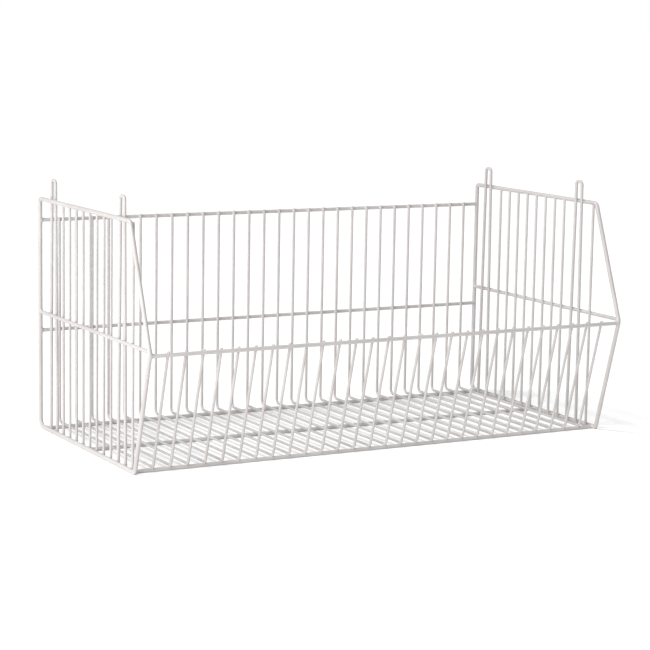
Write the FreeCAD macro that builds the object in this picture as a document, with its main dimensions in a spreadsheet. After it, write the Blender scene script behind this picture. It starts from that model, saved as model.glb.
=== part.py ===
import FreeCAD, Part
import math
import os

import Sketcher

# Welded wire stacking basket. The frame is centred on the floor under the bounding box:
# +X to the user's right, -Y towards the open front, +Z up. All lengths are in millimetres.
# Two bent side frames carry eight rails. The thinner mesh wires, side wires and prongs lie
# inside them and touch them, so every weld is a point where two round wires meet.

DIMENSIONS = (
    ("frame_wire", 8, "diameter of the side frames"),
    ("rail_wire", 7, "diameter of the rails"),
    ("prong_wire", 6, "diameter of the prongs"),
    ("mesh_wire", 5, "diameter of the mesh wires and side wires"),
    ("outer_width", 1000, "over the outside of the side frames"),
    ("outer_depth", 525, "from the back posts to the nose"),
    ("body_height", 450, "from the floor to the top of the side frames"),
    ("overall_height", 488, "from the floor to the top of the prongs"),
    ("top_depth", 431, "back post to top front corner, on centres"),
    ("nose_depth", 517.76, "back post to nose corner, on centres"),
    ("bottom_depth", 455, "back post to bottom front corner, on centres"),
    ("nose_height", 224, "nose corner above the floor"),
    ("bend_rear_bottom", 15, "side frame bend radius on the wire's centre line"),
    ("bend_rear_top", 6, "side frame bend radius on the wire's centre line"),
    ("bend_front_top", 12, "side frame bend radius on the wire's centre line"),
    ("bend_nose", 14, "side frame bend radius on the wire's centre line"),
    ("bend_front_bottom", 4, "side frame bend radius on the wire's centre line"),
    ("back_top_rail_height", 405, "centre above the floor"),
    ("back_mid_rail_height", 191.5, "centre above the floor"),
    ("nose_rail_height", 221, "centre above the floor"),
    ("side_rail_height", 228, "centre above the floor"),
    ("rear_floor_rail_depth", 26, "back post to rail, on centres"),
    ("mid_floor_rail_depth", 242, "back post to rail, on centres"),
    ("front_floor_rail_depth", 445, "back post to rail, on centres"),
    ("mesh_count", 28, "number of mesh wires"),
    ("mesh_pitch", 34, "spacing of the mesh wires"),
    ("mesh_tip_rise", 1.5, "mesh wire end above the rail it is welded to"),
    ("mesh_bend_rear", 10, "mesh wire bend radius on its centre line"),
    ("mesh_bend_front", 6, "mesh wire bend radius on its centre line"),
    ("wire_end_round", 0.8, "rounding of the cut ends of the mesh wires, side wires and prongs"),
    ("side_count", 13, "places for wires on each side, counted from the back"),
    ("side_first", 37, "back post to the first side place, on centres"),
    ("side_pitch", 32.75, "spacing of the side places"),
    ("side_wire_foot", 2, "lower end of the side wires above the floor"),
    ("side_wire_top", 446, "upper end of the side wires above the floor"),
    ("front_wire_top", 444, "upper end of the wire under the top front bend"),
    ("prong_width", 18, "width of a prong's loop, on centres"),
    ("prong_bend", 6.5, "bend radius of a prong's loop on its centre line"),
)

# Side places, counted from the back, where a prong's two legs take the place of two wires.
PRONG_PLACES = (("rear", 0), ("front", 10))
SIDES = (("left", -1), ("right", 1))

# Expressions shared by several pieces. A piece's local origin is on the floor under the
# centre line of the back posts, and its local Y runs forwards as negative numbers.
POST_Y = "dims.outer_depth / 2 - dims.frame_wire / 2"
FRAME_X = "(dims.outer_width - dims.frame_wire) / 2"
MESH_TOUCH = "((dims.rail_wire + dims.mesh_wire) / 2)"
SIDE_TOUCH = "((dims.frame_wire + dims.mesh_wire) / 2)"
PRONG_TOUCH = "((dims.frame_wire + dims.prong_wire) / 2)"
FRAME_TOP = "(dims.body_height - dims.frame_wire / 2)"
FRAME_BOTTOM = "(dims.frame_wire / 2)"
FLOOR_WIRE = "(dims.rail_wire + dims.mesh_wire / 2)"
LOWER_LEAN = f"atan((dims.nose_depth - dims.bottom_depth) / (dims.nose_height - {FRAME_BOTTOM}))"
UPPER_LEAN = f"atan((dims.nose_depth - dims.top_depth) / ({FRAME_TOP} - dims.nose_height))"

MINIMUM_VOLUME_RATIO = 0.98
MAXIMUM_VOLUME_RATIO = 1.02

doc = FreeCAD.newDocument("wire_basket")
sheet = doc.addObject("Spreadsheet::Sheet", "dims")
expected_volumes = {}


def fill_sheet():
    for row, (alias, value, note) in enumerate(DIMENSIONS, start=1):
        sheet.set(f"A{row}", alias)
        sheet.set(f"B{row}", str(value))
        sheet.set(f"C{row}", note)
        sheet.setAlias(f"B{row}", alias)
    doc.recompute()


def value_of(expression):
    return float(sheet.evalExpression(expression))


def lower_front(height, offset="0"):
    """Depth of the lower front limb's line at a height, moved inwards by an offset."""
    climb = f"({height} - {FRAME_BOTTOM}) * tan({LOWER_LEAN})"
    return f"(dims.bottom_depth + {climb} - ({offset}) / cos({LOWER_LEAN}))"


def place(piece, x, y, z):
    piece.setExpression("Placement.Base.x", x)
    piece.setExpression("Placement.Base.y", y)
    piece.setExpression("Placement.Base.z", z)


def straight_rail(name, length, start, turn_axis):
    """A rail whose axis is +Z turned a quarter about turn_axis, beginning at start."""
    rail = doc.addObject("Part::Cylinder", name)
    rail.Label = name
    rail.setExpression("Radius", "dims.rail_wire / 2")
    rail.setExpression("Height", length)
    rail.Placement.Rotation = FreeCAD.Rotation(turn_axis, 90)
    place(rail, *start)
    expected_volumes[name] = value_of(length) * section_area("dims.rail_wire")
    return rail


def round_ends(body, wire):
    """Rounding of the two flat cut ends of a wire, made on its last feature."""
    doc.recompute()
    rounding = body.newObject("PartDesign::Fillet", f"{body.Label}_ends")
    rounding.Base = (wire, cut_end_edges(wire))
    rounding.setExpression("Radius", "dims.wire_end_round")
    return body


def cut_end_edges(wire):
    """Names of the circles round the two flat ends of a wire."""
    rims = [face.Edges[0] for face in wire.Shape.Faces if isinstance(face.Surface, Part.Plane)]
    edges = enumerate(wire.Shape.Edges, start=1)
    return [f"Edge{index}" for index, edge in edges if any(edge.isSame(rim) for rim in rims)]


def section_area(diameter):
    return math.pi * value_of(diameter) ** 2 / 4


def origin_plane(body, role):
    return next(item for item in body.Origin.OriginFeatures if item.Role == role)


def attach(sketch, body, role):
    sketch.AttachmentSupport = [(origin_plane(body, role), "")]
    sketch.MapMode = "FlatFace"


def constrain(sketch, constraints):
    """Add (constraint, expression or None) pairs to a sketch whose geometry already fits them."""
    indices = sketch.addConstraint([constraint for constraint, _ in constraints])
    for index, (_, expression) in zip(indices, constraints):
        if expression is not None:
            sketch.setExpression(f"Constraints[{index}]", expression)


def pin(geometry, point, corner):
    """Constraints that fix a point of a sketch at a corner given as two expressions."""
    return [
        (Sketcher.Constraint(kind, -1, 1, geometry, point, value_of(expression)), expression)
        for kind, expression in zip(("DistanceX", "DistanceY"), corner)
    ]


def size_round(geometry, radius):
    return [(Sketcher.Constraint("Radius", geometry, value_of(radius)), radius)]


def bend_at(before, corner, after, radius):
    """Entry, middle, exit and length of the arc that rounds a corner, and whether it turns left."""
    inward = (before - corner).normalize()
    outward = (after - corner).normalize()
    half_angle = inward.getAngle(outward) / 2
    tangent = radius / math.tan(half_angle)
    bisector = (inward + outward).normalize()
    middle = corner + bisector * (radius / math.sin(half_angle) - radius)
    length = radius * (math.pi - 2 * half_angle)
    turns_left = outward.cross(inward).z > 0
    return corner + inward * tangent, middle, corner + outward * tangent, length, turns_left


def draw_path(sketch, corners, closed):
    """Straight runs joined by tangent arcs, held by the corners that the runs aim at.

    Each corner is (across, up, radius) in expressions, with radius None at an end or at a
    point where two runs meet in line. Returns the length of the path.
    """
    count = len(corners)
    points = [FreeCAD.Vector(value_of(across), value_of(up), 0) for across, up, _ in corners]
    entries = list(points)
    exits = list(points)
    arcs = {}
    length = 0
    for index, (_, _, radius) in enumerate(corners):
        if radius is None:
            continue
        bend = bend_at(points[index - 1], points[index], points[(index + 1) % count], value_of(radius))
        entry, middle, leaving, arc_length, turns_left = bend
        entries[index] = entry
        exits[index] = leaving
        if turns_left:
            arcs[index] = (Part.Arc(entry, middle, leaving), 1, 2)
        else:
            arcs[index] = (Part.Arc(leaving, middle, entry), 2, 1)
        length += arc_length
    runs = []
    for index in range(count if closed else count - 1):
        following = (index + 1) % count
        runs.append(sketch.addGeometry(Part.LineSegment(exits[index], entries[following])))
        length += exits[index].distanceToPoint(entries[following])
    constraints = []
    for index, (across, up, radius) in enumerate(corners):
        run_in, run_out = runs[index - 1], runs[index % len(runs)]
        if radius is None:
            constraints += hold_plain_corner(run_in, run_out, index, closed, (across, up))
            continue
        arc, entry_point, exit_point = arcs[index]
        bend = sketch.addGeometry(arc)
        aim = sketch.addGeometry(Part.Point(points[index]), True)
        constraints += [
            (Sketcher.Constraint("Tangent", run_in, 2, bend, entry_point), None),
            (Sketcher.Constraint("Tangent", bend, exit_point, run_out, 1), None),
            (Sketcher.Constraint("PointOnObject", aim, 1, run_in), None),
            (Sketcher.Constraint("PointOnObject", aim, 1, run_out), None),
        ]
        constraints += size_round(bend, radius) + pin(aim, 1, (across, up))
    constrain(sketch, constraints)
    return length


def hold_plain_corner(run_in, run_out, index, closed, corner):
    """Constraints for a free end of the path, or for two runs that meet in line."""
    if closed:
        meeting = Sketcher.Constraint("Coincident", run_in, 2, run_out, 1)
        return pin(run_out, 1, corner) + [(meeting, None)]
    if index == 0:
        return pin(run_out, 1, corner)
    return pin(run_in, 2, corner)


def bent_wire(name, diameter, corners, start_height, position, closed=False):
    """A round wire swept along a path in its local YZ plane, from a level section."""
    body = doc.addObject("PartDesign::Body", name)
    body.Label = name
    path = body.newObject("Sketcher::SketchObject", f"{name}_path")
    attach(path, body, "YZ_Plane")
    length = draw_path(path, corners, closed)
    section = body.newObject("Sketcher::SketchObject", f"{name}_section")
    attach(section, body, "XY_Plane")
    section.setExpression("AttachmentOffset.Base.z", start_height)
    draw_section(section, f"{diameter} / 2", ("0", corners[0][0]))
    pipe = body.newObject("PartDesign::AdditivePipe", f"{name}_sweep")
    pipe.Profile = section
    pipe.Spine = path
    path.Visibility = False
    place(body, *position)
    expected_volumes[name] = length * section_area(diameter)
    return body, pipe


def draw_section(sketch, radius, centre):
    middle = FreeCAD.Vector(value_of(centre[0]), value_of(centre[1]), 0)
    circle = sketch.addGeometry(Part.Circle(middle, FreeCAD.Vector(0, 0, 1), value_of(radius)))
    constrain(sketch, pin(circle, 3, centre) + size_round(circle, radius))


def build_side_frame(name, side):
    """One wire bent into a closed ring with five corners, joined up in the back post."""
    post_middle = "(dims.body_height / 2)"
    corners = (
        ("0", post_middle, None),
        ("0", FRAME_TOP, "dims.bend_rear_top"),
        ("-dims.top_depth", FRAME_TOP, "dims.bend_front_top"),
        ("-dims.nose_depth", "dims.nose_height", "dims.bend_nose"),
        ("-dims.bottom_depth", FRAME_BOTTOM, "dims.bend_front_bottom"),
        ("0", FRAME_BOTTOM, "dims.bend_rear_bottom"),
    )
    position = (f"{side} * {FRAME_X}", POST_Y, "0")
    return bent_wire(name, "dims.frame_wire", corners, post_middle, position, closed=True)[0]


def build_side_rail(name, side):
    """Straight rail from the back post to the nose, flush with the inside of the side frame."""
    height = "dims.side_rail_height"
    top_edge_climb = f"({height} + dims.rail_wire / 2 - dims.nose_height)"
    nose_line = f"dims.nose_depth - {top_edge_climb} * tan({UPPER_LEAN})"
    length = f"{nose_line} - dims.frame_wire / 2 / cos({UPPER_LEAN}) - dims.frame_wire / 2"
    across = f"{side} * ({FRAME_X} - (dims.frame_wire - dims.rail_wire) / 2)"
    start = (across, f"{POST_Y} - dims.frame_wire / 2", height)
    return straight_rail(name, length, start, FreeCAD.Vector(1, 0, 0))


def build_long_rail(name, depth, height):
    """Straight rail between the inner faces of the two side frames."""
    start = ("dims.frame_wire - dims.outer_width / 2", f"{POST_Y} - {depth}", height)
    length = "dims.outer_width - 2 * dims.frame_wire"
    return straight_rail(name, length, start, FreeCAD.Vector(0, 1, 0))


def build_mesh_wire(name, number):
    """U-shaped wire: down inside the back rails, over the floor rails, up inside the nose."""
    tip_over_rail = "dims.rail_wire / 2 + dims.mesh_tip_rise"
    back_tip = f"(dims.back_top_rail_height + {tip_over_rail})"
    front_tip = f"(dims.nose_rail_height + {tip_over_rail})"
    corners = (
        (f"-{MESH_TOUCH}", back_tip, None),
        (f"-{MESH_TOUCH}", FLOOR_WIRE, "dims.mesh_bend_rear"),
        (f"-{lower_front(FLOOR_WIRE, MESH_TOUCH)}", FLOOR_WIRE, "dims.mesh_bend_front"),
        (f"-{lower_front(front_tip, MESH_TOUCH)}", front_tip, None),
    )
    position = (f"({number} - (dims.mesh_count - 1) / 2) * dims.mesh_pitch", POST_Y, "0")
    return round_ends(*bent_wire(name, "dims.mesh_wire", corners, back_tip, position))


def side_place(number):
    return f"(dims.side_first + ({number}) * dims.side_pitch)"


def build_side_wire(name, side, number, top):
    """Upright wire against the inside of the side frame's limbs and the side rail."""
    body = doc.addObject("PartDesign::Body", name)
    body.Label = name
    wire = body.newObject("PartDesign::AdditiveCylinder", f"{name}_wire")
    length = f"{top} - dims.side_wire_foot"
    wire.setExpression("Radius", "dims.mesh_wire / 2")
    wire.setExpression("Height", length)
    across = f"{side} * ({FRAME_X} - {SIDE_TOUCH})"
    place(body, across, f"{POST_Y} - {side_place(number)}", "dims.side_wire_foot")
    expected_volumes[name] = value_of(length) * section_area("dims.mesh_wire")
    return round_ends(body, wire)


def build_prong(name, side, number):
    """Hairpin whose legs spread from a narrow loop at the top to two side places at the foot.

    The loop of one basket goes up between the wider feet of the prong on the basket above.
    """
    middle = side_place(f"{number} + 0.5")
    top = "(dims.overall_height - dims.prong_wire / 2)"
    corners = (
        (f"-{side_place(number)}", "dims.side_wire_foot", None),
        (f"-({middle} - dims.prong_width / 2)", top, "dims.prong_bend"),
        (f"-({middle} + dims.prong_width / 2)", top, "dims.prong_bend"),
        (f"-{side_place(number + 1)}", "dims.side_wire_foot", None),
    )
    position = (f"{side} * ({FRAME_X} - {PRONG_TOUCH})", POST_Y, "0")
    return round_ends(*bent_wire(name, "dims.prong_wire", corners, "dims.side_wire_foot", position))


def build_sides():
    pieces = []
    side_count = int(value_of("dims.side_count"))
    prong_places = {start + step for _, start in PRONG_PLACES for step in (0, 1)}
    plain_places = sorted(set(range(side_count)) - prong_places)
    for side_name, side in SIDES:
        pieces.append(build_side_frame(f"side_frame_{side_name}", side))
        pieces.append(build_side_rail(f"side_rail_{side_name}", side))
        for order, number in enumerate(plain_places, start=1):
            last = number == side_count - 1
            top = "dims.front_wire_top" if last else "dims.side_wire_top"
            pieces.append(build_side_wire(f"side_wire_{side_name}_{order}", side, number, top))
        for prong_name, number in PRONG_PLACES:
            pieces.append(build_prong(f"stacking_prong_{side_name}_{prong_name}", side, number))
    return pieces


def build_rails():
    nose_line = lower_front("dims.nose_rail_height")
    floor_line = "dims.rail_wire / 2"
    rails = (
        ("back_top_rail", "0", "dims.back_top_rail_height"),
        ("back_mid_rail", "0", "dims.back_mid_rail_height"),
        ("nose_rail", nose_line, "dims.nose_rail_height"),
        ("floor_rail_front", "dims.front_floor_rail_depth", floor_line),
        ("floor_rail_middle", "dims.mid_floor_rail_depth", floor_line),
        ("floor_rail_rear", "dims.rear_floor_rail_depth", floor_line),
    )
    return [build_long_rail(name, depth, height) for name, depth, height in rails]


def build_mesh():
    count = int(value_of("dims.mesh_count"))
    return [build_mesh_wire(f"mesh_wire_{number + 1:02d}", number) for number in range(count)]


def check_pieces(pieces):
    for item in doc.Objects:
        if {"Invalid", "Error"} & set(item.State):
            raise RuntimeError(f"{item.Name} failed: {item.State}")
    for piece in pieces:
        shape = piece.Shape
        if shape.isNull() or not shape.isValid() or len(shape.Solids) != 1:
            raise RuntimeError(f"{piece.Label} is not one valid solid")
        ratio = shape.Volume / expected_volumes[piece.Label]
        if not MINIMUM_VOLUME_RATIO < ratio < MAXIMUM_VOLUME_RATIO:
            raise RuntimeError(f"{piece.Label} has {ratio:.3f} times its wire's volume")


def export_pieces(pieces):
    os.makedirs("parts", exist_ok=True)
    for piece in pieces:
        piece.Shape.exportStep(f"parts/{piece.Label}.step")
    print(f"{len(pieces)} pieces written")


def main():
    fill_sheet()
    pieces = build_sides() + build_rails() + build_mesh()
    doc.recompute()
    check_pieces(pieces)
    export_pieces(pieces)


main()
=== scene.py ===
import math

import bpy
import numpy as np
from mathutils import Matrix, Vector


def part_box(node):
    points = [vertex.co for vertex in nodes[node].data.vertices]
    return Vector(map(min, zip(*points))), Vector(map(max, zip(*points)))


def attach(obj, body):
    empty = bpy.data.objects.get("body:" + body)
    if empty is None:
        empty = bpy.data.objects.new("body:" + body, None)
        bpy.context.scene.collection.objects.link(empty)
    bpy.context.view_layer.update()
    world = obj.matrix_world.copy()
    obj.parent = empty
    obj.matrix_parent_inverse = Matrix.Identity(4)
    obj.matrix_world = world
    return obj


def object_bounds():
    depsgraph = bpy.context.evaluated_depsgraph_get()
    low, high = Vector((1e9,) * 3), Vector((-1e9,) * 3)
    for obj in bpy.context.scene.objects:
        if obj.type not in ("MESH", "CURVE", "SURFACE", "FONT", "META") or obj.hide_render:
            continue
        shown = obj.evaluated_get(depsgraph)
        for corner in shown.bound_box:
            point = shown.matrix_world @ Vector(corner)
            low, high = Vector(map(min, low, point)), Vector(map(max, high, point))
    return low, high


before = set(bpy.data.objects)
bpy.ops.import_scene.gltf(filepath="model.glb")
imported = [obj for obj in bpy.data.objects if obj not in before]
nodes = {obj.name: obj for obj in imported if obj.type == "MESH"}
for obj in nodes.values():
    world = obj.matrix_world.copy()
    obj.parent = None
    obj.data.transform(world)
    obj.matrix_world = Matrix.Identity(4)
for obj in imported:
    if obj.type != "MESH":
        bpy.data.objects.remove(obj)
cad_low, cad_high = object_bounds()

MM = 0.001

# Radii of the side frames, the rails, the prongs and the mesh and side wires.
FRAME = 4 * MM
RAIL = 3.5 * MM
PRONG = 3 * MM
LIGHT = 2.5 * MM
END_ROUNDING = 0.8 * MM

# Corners of a side frame's centre line: depth from the back post, height and bend radius, in mm.
FRAME_CORNERS = {
    "rear_top": (0, 446, 6),
    "front_top": (431, 446, 12),
    "nose": (517.76, 224, 14),
    "front_bottom": (455, 4, 4),
    "rear_bottom": (0, 4, 15),
}
FRAME_TOP = FRAME_CORNERS["rear_top"][1] * MM
FRAME_BOTTOM = FRAME_CORNERS["rear_bottom"][1] * MM

# Heights of the side wires' lower ends, and of the upper end of the frontmost one.
SIDE_WIRE_FOOT = 2 * MM
FRONT_WIRE_TOP = 444 * MM

X_AXIS = Vector((1, 0, 0))
Y_AXIS = Vector((0, 1, 0))
Z_AXIS = Vector((0, 0, 1))


# ---------------------------------------------------------------- materials

def add_node(tree, kind, **settings):
    """A shader node with its inputs or, failing that, its properties set by name."""
    node = tree.nodes.new(kind)
    for name, value in settings.items():
        if name in node.inputs:
            node.inputs[name].default_value = value
        else:
            setattr(node, name, value)
    return node


def white_coating():
    """Satin white powder coat: a faint drift in tone, an uneven gloss and orange peel."""
    material = bpy.data.materials.new("white_coating_look")
    material.use_nodes = True
    tree = material.node_tree
    shader = tree.nodes["Principled BSDF"]
    shader.inputs["IOR"].default_value = 1.5
    shader.inputs["Coat Weight"].default_value = 0.08
    shader.inputs["Coat Roughness"].default_value = 0.18
    place = add_node(tree, "ShaderNodeTexCoord")

    drift = add_node(tree, "ShaderNodeTexNoise", Scale=9.0, Detail=3.0, Roughness=0.55)
    tree.links.new(place.outputs["Object"], drift.inputs["Vector"])
    tint = add_node(tree, "ShaderNodeValToRGB")
    tint.color_ramp.elements[0].position = 0.35
    tint.color_ramp.elements[0].color = (0.440, 0.419, 0.411, 1)
    tint.color_ramp.elements[1].position = 0.68
    tint.color_ramp.elements[1].color = (0.500, 0.479, 0.471, 1)
    tree.links.new(drift.outputs["Fac"], tint.inputs["Fac"])
    tree.links.new(tint.outputs["Color"], shader.inputs["Base Color"])

    gloss = add_node(tree, "ShaderNodeTexNoise", Scale=160.0, Detail=2.0, Roughness=0.6)
    tree.links.new(place.outputs["Object"], gloss.inputs["Vector"])
    spread = add_node(tree, "ShaderNodeMapRange")
    spread.inputs["To Min"].default_value = 0.38
    spread.inputs["To Max"].default_value = 0.52
    tree.links.new(gloss.outputs["Fac"], spread.inputs["Value"])
    tree.links.new(spread.outputs["Result"], shader.inputs["Roughness"])

    peel = add_node(tree, "ShaderNodeTexNoise", Scale=650.0, Detail=2.0, Roughness=0.5)
    tree.links.new(place.outputs["Object"], peel.inputs["Vector"])
    bump = add_node(tree, "ShaderNodeBump", Strength=0.35, Distance=0.00012)
    tree.links.new(peel.outputs["Fac"], bump.inputs["Height"])
    tree.links.new(bump.outputs["Normal"], shader.inputs["Normal"])
    return material


def floor_paint():
    """Matt white table top that glows very slightly."""
    material = bpy.data.materials.new("studio_floor")
    material.use_nodes = True
    tree = material.node_tree
    shader = tree.nodes["Principled BSDF"]
    shader.inputs["Roughness"].default_value = 0.85
    shader.inputs["Specular IOR Level"].default_value = 0.15
    shader.inputs["Emission Color"].default_value = (1, 1, 1, 1)
    shader.inputs["Emission Strength"].default_value = 0.08
    place = add_node(tree, "ShaderNodeTexCoord")
    noise = add_node(tree, "ShaderNodeTexNoise", Scale=2.0, Detail=4.0)
    tree.links.new(place.outputs["Object"], noise.inputs["Vector"])
    tint = add_node(tree, "ShaderNodeValToRGB")
    tint.color_ramp.elements[0].color = (0.885, 0.885, 0.890, 1)
    tint.color_ramp.elements[1].color = (0.905, 0.905, 0.910, 1)
    tree.links.new(noise.outputs["Fac"], tint.inputs["Fac"])
    tree.links.new(tint.outputs["Color"], shader.inputs["Base Color"])
    return material


coating = white_coating()
for node in nodes.values():
    for slot in node.material_slots:
        slot.material = coating


# ---------------------------------------------------------------- weld metal

def smooth_union(a, b, blend):
    """Distance field of two joined bodies, the crease between them filled over a blend width."""
    share = np.clip(blend - np.abs(a - b), 0, None) / blend
    return np.minimum(a, b) - share ** 3 * blend / 6


def line_distance(points, origin, direction):
    """Distance of each point from an endless line."""
    offset = points - np.array(origin)
    direction = np.array(direction, float)
    along = offset @ direction
    return np.linalg.norm(offset - along[..., None] * direction, axis=-1)


def surface_net(field, low, step):
    """Closed quad mesh of the zero surface of a sampled field that is positive on its border."""
    inside = field < 0
    cells = np.array(field.shape) - 1
    filled = np.zeros(cells, int)
    for i in (0, 1):
        for j in (0, 1):
            for k in (0, 1):
                filled += inside[i:i + cells[0], j:j + cells[1], k:k + cells[2]]
    crossed = (filled > 0) & (filled < 8)
    number = np.full(cells, -1)
    number[crossed] = np.arange(crossed.sum())
    corner = np.argwhere(crossed)
    total = np.zeros((len(corner), 3))
    hits = np.zeros(len(corner))
    faces = []
    for axis in range(3):
        u, v = (axis + 1) % 3, (axis + 2) % 3
        for du in (0, 1):
            for dv in (0, 1):
                start = corner.copy()
                start[:, u] += du
                start[:, v] += dv
                end = start.copy()
                end[:, axis] += 1
                before, after = field[tuple(start.T)], field[tuple(end.T)]
                cut = (before < 0) != (after < 0)
                share = before[cut] / (before[cut] - after[cut])
                point = start[cut].astype(float)
                point[:, axis] += share
                total[cut] += point
                hits[cut] += 1
        first = np.take(inside, range(field.shape[axis] - 1), axis)
        second = np.take(inside, range(1, field.shape[axis]), axis)
        for edge in np.argwhere(first != second):
            ring = []
            for du, dv in ((-1, -1), (0, -1), (0, 0), (-1, 0)):
                cell = edge.copy()
                cell[u] += du
                cell[v] += dv
                ring.append(int(number[tuple(cell)]))
            faces.append(ring if first[tuple(edge)] else ring[::-1])
    return low + step * total / hits[:, None], faces


WELD_SINK = 0.06 * MM


def weld_mesh(wires, centre, reach, blend, step):
    """Fillet where wires meet near a point. Elsewhere it lies a hair inside their surfaces."""
    spare = 4
    count = int(2 * reach / step) + spare
    low = np.array(centre) - step * (count - 1) / 2
    axis = np.arange(count) * step
    grid = low + np.stack(np.meshgrid(axis, axis, axis, indexing="ij"), -1)
    joined = wires[0](grid) + WELD_SINK
    for wire in wires[1:]:
        joined = smooth_union(joined, wire(grid) + WELD_SINK, blend)
    ball = np.linalg.norm(grid - np.array(centre), axis=-1) - reach
    return surface_net(np.maximum(joined, ball), low, step)


def rod(origin, direction, radius):
    """An endless round wire, as a function that gives points their distance from its surface."""
    return lambda points: line_distance(points, origin, direction) - radius


def rod_end(origin, direction, radius, rounding):
    """A rod with a rounded end at origin that runs on endlessly along direction."""
    def distance(points):
        out = line_distance(points, origin, direction) - radius + rounding
        behind = rounding - (points - np.array(origin)) @ np.array(direction, float)
        outside = np.hypot(np.maximum(out, 0), np.maximum(behind, 0))
        return outside + np.minimum(np.maximum(out, behind), 0) - rounding
    return distance


def bent_rod(path, radius):
    """A round wire along a line of points."""
    def distance(points):
        nearest = np.full(points.shape[:-1], np.inf)
        for start, stop in zip(path, path[1:]):
            run = np.array(stop) - np.array(start)
            offset = points - np.array(start)
            share = np.clip(offset @ run / (run @ run), 0, 1)
            nearest = np.minimum(nearest, np.linalg.norm(offset - share[..., None] * run, axis=-1))
        return nearest - radius
    return distance


def thin_out(vertices, faces, share):
    """The same mesh with fewer faces and slightly smoothed, as vertex and face lists."""
    mesh = bpy.data.meshes.new("weld_draft")
    mesh.from_pydata([tuple(v) for v in vertices], [], faces)
    draft = bpy.data.objects.new("weld_draft", mesh)
    bpy.context.scene.collection.objects.link(draft)
    fewer = draft.modifiers.new("fewer", "DECIMATE")
    fewer.ratio = share
    smoother = draft.modifiers.new("smoother", "SMOOTH")
    smoother.factor = 0.25
    smoother.iterations = 1
    evaluated = draft.evaluated_get(bpy.context.evaluated_depsgraph_get())
    result = bpy.data.meshes.new_from_object(evaluated)
    points = np.array([v.co for v in result.vertices])
    polygons = [tuple(p.vertices) for p in result.polygons]
    bpy.data.objects.remove(draft)
    bpy.data.meshes.remove(mesh)
    bpy.data.meshes.remove(result)
    return points, polygons


def turned(columns, origin):
    """Matrix that takes local X, Y and Z to three directions, from an origin."""
    rotation = Matrix([list(c) for c in columns]).transposed().to_4x4()
    return Matrix.Translation(origin) @ rotation


def add_welds(name, copies):
    """One object of many copies of (points, polygons), each placed by its matrix.

    The points are held inside the CAD box.
    """
    points, polygons = [], []
    for (local, local_faces), matrix in copies:
        start = len(points)
        rotation = np.array(matrix.to_3x3())
        moved = local @ rotation.T + np.array(matrix.translation)
        points += list(moved)
        polygons += [tuple(start + i for i in face) for face in local_faces]
    points = np.clip(points, cad_low, cad_high)
    mesh = bpy.data.meshes.new(name)
    mesh.from_pydata([tuple(p) for p in points], [], polygons)
    mesh.update()
    mesh.polygons.foreach_set("use_smooth", [True] * len(polygons))
    mesh.materials.append(coating)
    piece = bpy.data.objects.new(name, mesh)
    bpy.context.scene.collection.objects.link(piece)
    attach(piece, "root")


def centre_of(node):
    """Middle of a CAD node's box."""
    low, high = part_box(node)
    return (low + high) / 2


# How far a weld of thin wires is followed, the grid it is meshed on and the share of faces kept.
WELD_REACH = 5 * MM
WELD_STEP = 0.42 * MM
WELD_FACES_KEPT = 0.35


def crossing(heavy, light, blend, light_end=None):
    """Weld of a heavy wire along local X and a light one along local Y, on its +Z side.

    light_end is how far past the heavy wire's axis the light wire ends, or None if it runs on.
    """
    if light_end is None:
        upper = rod((0, 0, heavy + light), Y_AXIS, light)
    else:
        upper = rod_end((0, light_end, heavy + light), -Y_AXIS, light, END_ROUNDING)
    lower = rod((0, 0, 0), X_AXIS, heavy)
    net = weld_mesh((lower, upper), (0, 0, heavy), WELD_REACH, blend, WELD_STEP)
    return thin_out(*net, WELD_FACES_KEPT)


def weld_sizes(heavy, light, light_end=None):
    """The same weld with a few blend widths, because no two welds are quite alike."""
    return [crossing(heavy, light, width * MM, light_end) for width in (4.2, 5.2, 4.6, 5.6, 4.4)]


def pick(kinds, number):
    """One of a few kinds, in an order that doesn't look regular."""
    return kinds[(number * 7 + number // 3) % len(kinds)]


mesh_welds = weld_sizes(RAIL, LIGHT)

# By the row that a weld is in and the radius of its upright wire.
side_welds = {
    ("rail", LIGHT): mesh_welds,
    ("rail", PRONG): weld_sizes(RAIL, PRONG),
    ("foot", LIGHT): weld_sizes(FRAME, LIGHT, FRAME_BOTTOM - SIDE_WIRE_FOOT),
    ("foot", PRONG): weld_sizes(FRAME, PRONG, FRAME_BOTTOM - SIDE_WIRE_FOOT),
    ("top", LIGHT): weld_sizes(FRAME, LIGHT, 0),
    ("top", PRONG): weld_sizes(FRAME, PRONG),
}

nose_depth, nose_height, _ = FRAME_CORNERS["nose"]
bottom_depth, bottom_height, _ = FRAME_CORNERS["front_bottom"]
lower_lean = math.atan((nose_depth - bottom_depth) / (nose_height - bottom_height))
up_the_front = Vector((0, -math.sin(lower_lean), math.cos(lower_lean)))
into_basket = Vector((0, math.cos(lower_lean), math.sin(lower_lean)))

# For each long rail: the way the mesh wire runs across it, and the side the mesh lies on.
LONG_RAILS = {
    "back_top_rail": (-Z_AXIS, -Y_AXIS),
    "back_mid_rail": (-Z_AXIS, -Y_AXIS),
    "nose_rail": (-up_the_front, into_basket),
    "floor_rail_front": (Y_AXIS, Z_AXIS),
    "floor_rail_middle": (Y_AXIS, Z_AXIS),
    "floor_rail_rear": (Y_AXIS, Z_AXIS),
}


def add_mesh_welds():
    """One row of welds along each long rail, where the mesh wires cross it."""
    mesh_wires = sorted(name for name in nodes if name.startswith("mesh_wire"))
    for order, (rail, (across, side)) in enumerate(LONG_RAILS.items()):
        middle = centre_of(rail)
        copies = []
        for number, wire in enumerate(mesh_wires):
            spot = Vector((centre_of(wire).x, middle.y, middle.z))
            weld = pick(mesh_welds, number + 5 * order)
            copies.append((weld, turned((across.cross(side), across, side), spot)))
        add_welds(f"welds_{rail}", copies)


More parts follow.
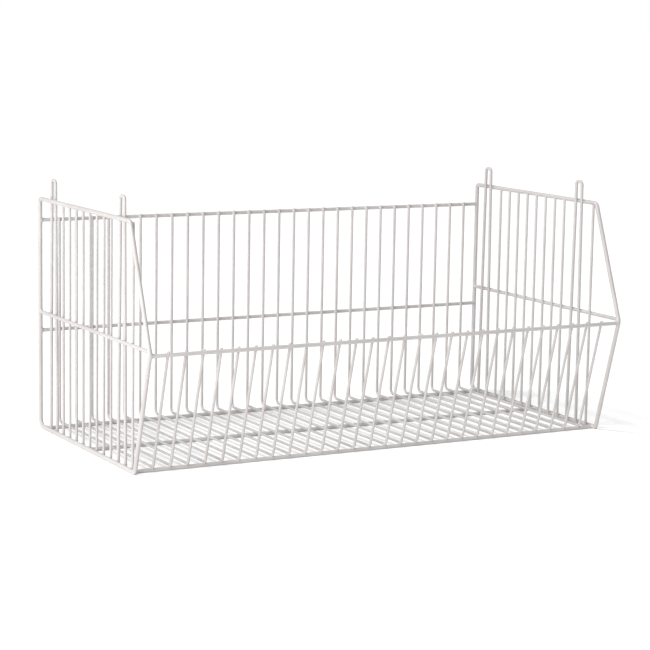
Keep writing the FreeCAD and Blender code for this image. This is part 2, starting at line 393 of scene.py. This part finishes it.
def frame_line():
    """Centre line of a side frame as (y, z) points, with its bends rounded."""
    bend_steps = 8
    post = centre_of("back_top_rail").y
    corners = list(FRAME_CORNERS.values())
    places = [Vector((post - depth * MM, height * MM)) for depth, height, _ in corners]
    line = []
    for index, (_, _, radius) in enumerate(corners):
        corner = places[index]
        back = (places[index - 1] - corner).normalized()
        ahead = (places[(index + 1) % len(places)] - corner).normalized()
        half = back.angle(ahead) / 2
        centre = corner + (back + ahead).normalized() * radius * MM / math.sin(half)
        swing = corner + back * radius * MM / math.tan(half) - centre
        turn = math.pi - 2 * half
        for step in range(bend_steps + 1):
            line.append(centre + Matrix.Rotation(turn * step / bend_steps, 2) @ swing)
    return line + line[:1]


side_line = frame_line()


def limb_near(plane, y, z, reach):
    """The stretch of a side frame that passes a place and runs on well out of reach."""
    finer = []
    for start, stop in zip(side_line, side_line[1:]):
        count = max(1, int((stop - start).length / reach))
        finer += [start.lerp(stop, share / count) for share in range(count)]
    place = Vector((y, z))
    close = [index for index, point in enumerate(finer) if (point - place).length < 2.5 * reach]
    first = next(index for index in close if (index - 1) % len(finer) not in close)
    stretch = [finer[(first + step) % len(finer)] for step in range(len(close))]
    return bent_rod([(plane, point.x, point.y) for point in stretch], FRAME)


def limb_at(y):
    """Height and direction of a side frame's upper limbs at a y position."""
    for start, stop in zip(side_line, side_line[1:]):
        if stop.x < y <= start.x:
            run = stop - start
            return start.y + run.y * (y - start.x) / run.x, run.normalized()


def leg_places(node, height):
    """Where a side wire, or each leg of a prong, passes a height: y positions."""
    middle = centre_of(node).y
    if node.startswith("side_wire"):
        return [middle]
    side_pitch, loop_width, loop_height = 32.75 * MM, 18 * MM, 485 * MM
    share = (height - SIDE_WIRE_FOOT) / (loop_height - SIDE_WIRE_FOOT)
    half = (side_pitch + (loop_width - side_pitch) * share) / 2
    return [middle - half, middle + half]


def bend_weld(plane, inward, y):
    """Weld of the last side wire, which ends under the top front bend of the frame."""
    blend = 5 * MM
    height, _ = limb_at(y)
    limb = limb_near(plane, y, height, WELD_REACH)
    wire_top = Vector((plane, y, FRONT_WIRE_TOP)) + inward * (FRAME + LIGHT)
    wire = rod_end(wire_top, -Z_AXIS, LIGHT, END_ROUNDING)
    middle = Vector((plane, y, height)) + inward * FRAME
    net = weld_mesh((limb, wire), middle, WELD_REACH, blend, WELD_STEP)
    return thin_out(*net, WELD_FACES_KEPT), Matrix.Identity(4)


def add_side_welds(side_name, inward):
    """Rows of welds where the side wires and prongs cross the frame and the side rail.

    Where the upper limbs fall by more than level_fall, a side wire is at the top front bend.
    """
    level_fall = 0.1
    plane = centre_of(f"side_frame_{side_name}").x
    rail = centre_of(f"side_rail_{side_name}")
    rows = {
        "rail": (rail.x, rail.z, Z_AXIS),
        "foot": (plane, FRAME_BOTTOM, -Z_AXIS),
        "top": (plane, FRAME_TOP, Z_AXIS),
    }
    wires = sorted(n for n in nodes if n.startswith(f"side_wire_{side_name}"))
    prongs = sorted(n for n in nodes if n.startswith(f"stacking_prong_{side_name}"))
    for order, (row, (x, z, along)) in enumerate(rows.items()):
        copies = []
        for number, upright in enumerate(wires + prongs):
            kinds = side_welds[row, PRONG if upright in prongs else LIGHT]
            for y in leg_places(upright, z):
                if row == "top" and limb_at(y)[1].y < -level_fall:
                    copies.append(bend_weld(plane, inward, y))
                    continue
                matrix = turned((along.cross(inward), along, inward), Vector((x, y, z)))
                copies.append((pick(kinds, number + 2 * order), matrix))
        add_welds(f"welds_side_{side_name}_{row}", copies)


def joint(wires, spot, reach):
    """A larger weld of wires that meet near a spot, already in its place."""
    blend, step, faces_kept = 6 * MM, 0.55 * MM, 0.5
    net = weld_mesh(wires, spot, reach, blend, step)
    return thin_out(*net, faces_kept), Matrix.Identity(4)


def add_joints(side_name, inward):
    """Square joints, where the end of a rail meets the inside of the side frame.

    Each rail is taken to begin inside the frame's wire, so that only the inner crease is filled.
    """
    inset = FRAME / 2
    end_reach, post_reach, nose_reach = 8 * MM, 9 * MM, 10.5 * MM
    plane = centre_of(f"side_frame_{side_name}").x
    side_rail = centre_of(f"side_rail_{side_name}")
    joints = []
    for rail in LONG_RAILS:
        middle = Vector((plane, *centre_of(rail).yz))
        wires = [limb_near(*middle, post_reach), rod_end(middle + inward * inset, inward, RAIL, 0)]
        spot = middle + inward * FRAME
        reach = end_reach
        if rail == "nose_rail":
            wires.append(rod_end((side_rail.x, middle.y + inset, side_rail.z), Y_AXIS, RAIL, 0))
            spot.z = (middle.z + side_rail.z) / 2
            reach = nose_reach
        joints.append(joint(wires, spot, reach))
    post = Vector((plane, centre_of("back_top_rail").y, side_rail.z))
    rail_end = (side_rail.x, post.y - inset, post.z)
    wires = [rod(post, Z_AXIS, FRAME), rod_end(rail_end, -Y_AXIS, RAIL, 0)]
    joints.append(joint(wires, post, post_reach))
    add_welds(f"welds_joints_{side_name}", joints)


add_mesh_welds()
for side_name, inward in (("left", X_AXIS), ("right", -X_AXIS)):
    add_side_welds(side_name, inward)
    add_joints(side_name, inward)


# ---------------------------------------------------------------- stage

def add_stage():
    """A wide floor under the basket, shown with plain tones."""
    bpy.ops.mesh.primitive_circle_add(vertices=96, radius=60, fill_type="NGON", location=(0, 0, 0))
    floor = bpy.context.object
    floor.name = "studio_floor"
    floor.data.materials.append(floor_paint())
    bpy.context.scene.view_settings.view_transform = "Standard"


def add_world(key, dim, bright):
    """Light from all round, brighter towards a direction. The camera sees plain white."""
    world = bpy.data.worlds.new("studio")
    bpy.context.scene.world = world
    world.use_nodes = True
    tree = world.node_tree
    light = tree.nodes["Background"]
    place = add_node(tree, "ShaderNodeTexCoord")
    facing = add_node(tree, "ShaderNodeVectorMath", operation="DOT_PRODUCT")
    facing.inputs[1].default_value = key.normalized()
    level = add_node(tree, "ShaderNodeMapRange", interpolation_type="SMOOTHSTEP")
    level.inputs["To Min"].default_value = dim
    level.inputs["To Max"].default_value = bright
    tree.links.new(place.outputs["Generated"], facing.inputs[0])
    tree.links.new(facing.outputs["Value"], level.inputs["Value"])
    tree.links.new(level.outputs["Result"], light.inputs["Strength"])
    light.inputs["Color"].default_value = (0.985, 0.99, 1.0, 1)

    backdrop = add_node(tree, "ShaderNodeBackground", Color=(1, 1, 1, 1), Strength=1.0)
    path = add_node(tree, "ShaderNodeLightPath")
    choice = add_node(tree, "ShaderNodeMixShader")
    tree.links.new(path.outputs["Is Camera Ray"], choice.inputs["Fac"])
    tree.links.new(light.outputs["Background"], choice.inputs[1])
    tree.links.new(backdrop.outputs["Background"], choice.inputs[2])
    tree.links.new(choice.outputs["Shader"], tree.nodes["World Output"].inputs["Surface"])


def towards(azimuth, elevation):
    """Unit vector towards an azimuth, 0 being the front and 90 the right, and an elevation."""
    around, above = math.radians(azimuth), math.radians(elevation)
    return Vector((
        math.sin(around) * math.cos(above),
        -math.cos(around) * math.cos(above),
        math.sin(above),
    ))


def add_lamp(data, back, place):
    """Put a lamp at a place, shining away from a direction."""
    data.color = (1.0, 0.985, 0.97)
    lamp = bpy.data.objects.new(data.name, data)
    bpy.context.scene.collection.objects.link(lamp)
    lamp.location = place
    lamp.rotation_euler = back.to_track_quat("Z", "Y").to_euler()


def add_sun(azimuth, elevation, softness, strength):
    """A distant light, softness being its width in degrees."""
    data = bpy.data.lights.new("overhead", "SUN")
    data.energy = strength
    data.angle = math.radians(softness)
    add_lamp(data, towards(azimuth, elevation), Z_AXIS)


def add_softbox(azimuth, elevation, distance, size, power):
    """A square light that faces the middle of the basket."""
    data = bpy.data.lights.new("softbox", "AREA")
    data.shape = "SQUARE"
    data.size = size
    data.energy = power
    back = towards(azimuth, elevation)
    add_lamp(data, back, Vector((0, 0, cad_high.z / 2)) + back * distance)


def add_camera():
    """The camera stands left of the basket, a little above it, and is rolled by one degree."""
    back = towards(-28.825, 8.786)
    distance = 4.1583
    target = Vector((0.0211, 0.0595, 0.1995))
    roll = math.radians(1.003)
    right = (-back).cross(Z_AXIS).normalized()
    up = right.cross(-back)
    rolled_right = right * math.cos(roll) + up * math.sin(roll)
    rolled_up = up * math.cos(roll) - right * math.sin(roll)
    data = bpy.data.cameras.new("camera")
    data.lens = 117.2
    data.sensor_width = 36
    camera = bpy.data.objects.new("camera", data)
    bpy.context.scene.collection.objects.link(camera)
    camera.matrix_world = turned((rolled_right, rolled_up, back), target + back * distance)
    bpy.context.scene.camera = camera


add_stage()
add_world(key=towards(-61, 60), dim=0.2, bright=1.06)
add_sun(azimuth=-120, elevation=66, softness=8, strength=1.4)
add_softbox(azimuth=-66, elevation=9, distance=3.5, size=1.8, power=85)
add_camera()
